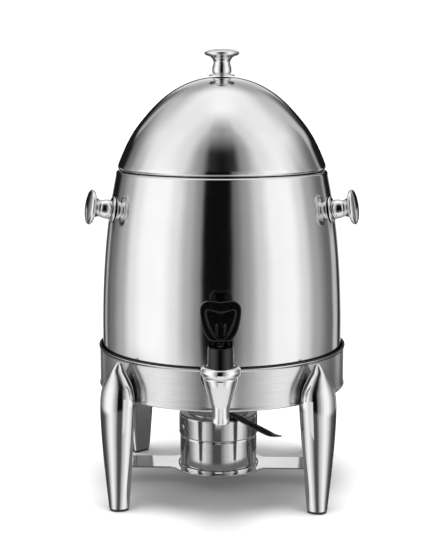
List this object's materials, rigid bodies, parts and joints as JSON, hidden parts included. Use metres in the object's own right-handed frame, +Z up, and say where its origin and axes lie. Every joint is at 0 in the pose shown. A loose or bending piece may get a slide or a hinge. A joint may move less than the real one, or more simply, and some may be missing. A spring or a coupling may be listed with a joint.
{
  "type": "hot beverage urn",
  "caption": "Dome-lidded polished steel hot-beverage urn with a front lever faucet, lifting out of a legged stand that carries a covered chafing-fuel burner with a swing damper.",
  "frame": {"origin": "bottom centre of the bounding box: on the counter plane, 28.1 mm in front of the urn's own axis", "axes": "+Z up, faucet towards -Y, +X to the right when facing the faucet"},
  "size_m": [0.3186, 0.3512, 0.52],
  "materials": {
    "mirror_steel": "mirror-polished stainless steel sheet",
    "chrome": "bright chrome plate",
    "burner_steel": "fine brushed stainless steel",
    "dark_steel": "heat-darkened steel",
    "black_plastic": "satin black moulded plastic",
    "rubber_foot": "matt black rubber",
    "silicone": "translucent-white silicone",
    "fastener_steel": "plain stainless fasteners"
  },
  "bodies": {
    "stand": {"stand_band": "mirror_steel", "leg_front_left": "mirror_steel", "leg_front_right": "mirror_steel", "leg_rear_left": "mirror_steel", "leg_rear_right": "mirror_steel", "foot_front_left": "rubber_foot", "foot_front_right": "rubber_foot", "foot_rear_left": "rubber_foot", "foot_rear_right": "rubber_foot", "leg_screw_front_left": "fastener_steel", "leg_screw_front_right": "fastener_steel", "leg_screw_rear_left": "fastener_steel", "leg_screw_rear_right": "fastener_steel", "burner_shelf": "mirror_steel", "shelf_screw_left": "fastener_steel", "shelf_screw_right": "fastener_steel"},
    "urn": {"urn_body": "mirror_steel", "side_knob_left": "chrome", "side_knob_right": "chrome", "side_knob_flange_left": "chrome", "side_knob_flange_right": "chrome", "side_knob_screw_left": "fastener_steel", "side_knob_screw_right": "fastener_steel", "faucet_body": "chrome", "faucet_outer_washer": "silicone", "faucet_inner_washer": "silicone", "faucet_locknut": "fastener_steel", "faucet_bonnet": "black_plastic", "faucet_handle_pin": "fastener_steel"},
    "lid": {"lid_shell": "mirror_steel", "lid_knob": "chrome", "lid_knob_flange": "chrome", "lid_knob_screw": "fastener_steel"},
    "faucet_lever": {"faucet_handle": "black_plastic"},
    "faucet_valve": {"valve_stem": "fastener_steel", "valve_seat_cup": "silicone"},
    "fuel_holder": {"fuel_cup": "burner_steel"},
    "fuel_holder_cover": {"burner_cover": "burner_steel", "cover_stud_left": "burner_steel", "cover_stud_right": "burner_steel", "damper_pivot_rivet": "burner_steel"},
    "damper": {"damper_disc": "burner_steel", "damper_lever": "dark_steel"}
  },
  "joints": [
    {"name": "urn_lift", "type": "slide", "parent": "stand", "child": "urn", "axis": [0, 0, 1], "range_m": [0, 0.06]},
    {"name": "lid_lift", "type": "slide", "parent": "urn", "child": "lid", "axis": [0, 0, 1], "range_m": [0, 0.03]},
    {"name": "faucet_pull", "type": "hinge", "parent": "urn", "child": "faucet_lever", "pos_m": [-0.0013, -0.1539, 0.2115], "axis": [1, 0, 0], "range_deg": [0, 30], "stiffness_Nm_per_rad": 0.3, "springref_deg": -11.46},
    {"name": "valve_lift", "type": "slide", "parent": "urn", "child": "faucet_valve", "axis": [0, 0, 1], "range_m": [0, 0.0036]},
    {"name": "fuel_holder_lift", "type": "slide", "parent": "stand", "child": "fuel_holder", "axis": [0, 0, 1], "range_m": [0, 0.005]},
    {"name": "cover_lift", "type": "slide", "parent": "fuel_holder", "child": "fuel_holder_cover", "axis": [0, 0, 1], "range_m": [0, 0.0235]},
    {"name": "damper_swing", "type": "hinge", "parent": "fuel_holder_cover", "child": "damper", "pos_m": [-0.02537, 0.06374, 0.0865], "axis": [0, 0, -1], "range_deg": [0, 50]}
  ],
  "couplings": [
    {"joint": "valve_lift", "follows": "faucet_pull", "m_per_rad": 0.0066}
  ]
}
